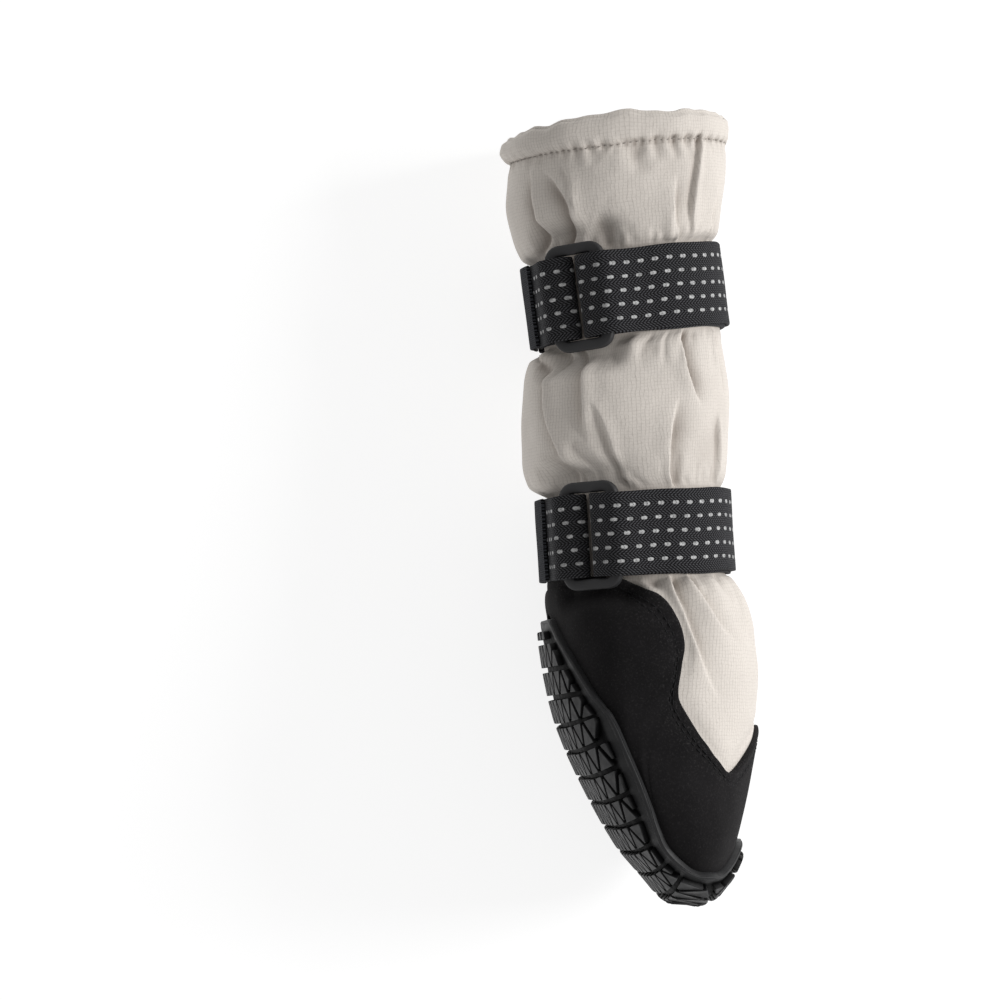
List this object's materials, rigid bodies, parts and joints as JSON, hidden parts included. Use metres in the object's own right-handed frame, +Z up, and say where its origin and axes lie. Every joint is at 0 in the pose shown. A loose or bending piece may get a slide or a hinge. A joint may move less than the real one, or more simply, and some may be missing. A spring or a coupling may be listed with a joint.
{
  "type": "dog boot",
  "caption": "Tall soft dog boot lying on its side: padded fabric shaft, suede rand, wrapped lugged rubber outsole and ring-fastened webbing straps.",
  "frame": {"origin": "centre of the overall box at its base, on the floor the boot lies on", "axes": "+Y from the toe towards the collar, +X towards the front of the boot (the instep side), +Z up, towards the boot's right side, which carries the rings"},
  "size_m": [0.0792, 0.2416, 0.0843],
  "materials": {
    "padded_fabric": "padded ripstop, matte",
    "suede": "napped, matte",
    "lugged_rubber": "moulded, satin",
    "felt": "felted, matte",
    "webbing": "woven, with pale dashes",
    "ring_plastic": "moulded, fine grain"
  },
  "bodies": {
    "root": {"upper": "padded_fabric", "rand": "suede", "outsole": "lugged_rubber", "insole": "felt", "strap_upper": "webbing", "strap_lower": "webbing", "keeper_upper": "webbing", "keeper_lower": "webbing", "tab_upper": "webbing", "tab_lower": "webbing", "ring_upper": "ring_plastic", "ring_lower": "ring_plastic"}
  },
  "joints": []
}
